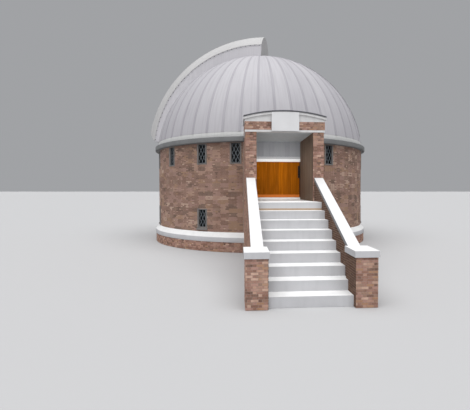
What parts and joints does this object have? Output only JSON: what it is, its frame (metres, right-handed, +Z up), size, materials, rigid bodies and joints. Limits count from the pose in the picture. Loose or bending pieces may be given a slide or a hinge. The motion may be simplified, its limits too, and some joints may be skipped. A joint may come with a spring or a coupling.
{
  "type": "observatory building",
  "caption": "Round brick observatory with a turning dome, an up-and-over shutter, and a porch at the head of straight steps.",
  "frame": {"origin": "on the dome's axis, at the underside of the ground floor, level with the ground", "axes": "+Z up; the porch and steps face -Y; +X to the right of someone facing the porch"},
  "size_m": [16.0086, 24.99, 14.8308],
  "materials": {
    "brick": "brown-pink brickwork, dull",
    "trim": "white painted stone, matt",
    "grey_trim": "dark grey, satin",
    "concrete": "plain concrete",
    "dome_paint": "pale grey painted sheet metal",
    "steel": "dull steel",
    "glass": "dark window glass",
    "grey_board": "grey boards",
    "door_wood": "varnished planks",
    "orange_wood": "bright orange paint",
    "dark_metal": "dark bronze paint"
  },
  "bodies": {
    "building": {"wall_front_right": "brick", "wall_right": "brick", "wall_rear": "brick", "wall_left": "brick", "wall_front_left": "brick", "wall_below_door": "brick", "wall_above_door": "brick", "plinth": "brick", "water_table": "trim", "cornice": "grey_trim", "ground_floor": "concrete", "upper_floor": "concrete", "upper_glazing": "glass", "lower_glazing": "glass", "dome_rail": "steel", "porch_wall_left": "brick", "porch_wall_right": "brick", "landing": "trim", "landing_wall": "brick", "door_threshold": "grey_trim", "door_lintel": "trim", "transom_panel": "grey_board", "door_jamb_left": "dark_metal", "door_jamb_right": "dark_metal", "architrave": "trim", "porch_ceiling": "grey_board", "entablature": "brick", "link_roof": "grey_trim", "fascia": "trim", "porch_roof": "grey_trim", "plaque": "trim", "step_1": "trim", "step_2": "trim", "step_3": "trim", "step_4": "trim", "step_5": "trim", "step_6": "trim", "step_7": "trim", "step_8": "trim", "flank_left": "brick", "coping_left": "trim", "pedestal_left": "brick", "pedestal_cap_left": "trim", "flank_right": "brick", "coping_right": "trim", "pedestal_right": "brick", "pedestal_cap_right": "trim"},
    "door": {"door_leaf": "door_wood", "door_kick_strip": "orange_wood", "door_handle": "dark_metal"},
    "dome": {"dome_shell": "dome_paint", "dome_skirt": "dome_paint", "dome_base_ring": "steel", "slit_rail_near": "dome_paint", "slit_rail_far": "dome_paint"},
    "shutter": {"shutter_skin": "dome_paint", "shutter_cheek_near": "dome_paint", "shutter_cheek_far": "dome_paint", "shutter_end_lower": "dome_paint", "shutter_end_upper": "dome_paint"}
  },
  "joints": [
    {"name": "door_hinge", "type": "hinge", "parent": "building", "child": "door", "pos_m": [-0.8522, -7.684, 4.1], "axis": [0, 0, -1], "range_deg": [0, 90]},
    {"name": "dome_turn", "type": "hinge", "parent": "building", "child": "dome", "pos_m": [0, 0, 6.5], "axis": [0, 0, 1], "continuous": true},
    {"name": "shutter_travel", "type": "hinge", "parent": "dome", "child": "shutter", "pos_m": [0, 0, 5.671], "axis": [0.2079, 0.9781, 0], "range_deg": [0, 78]}
  ]
}
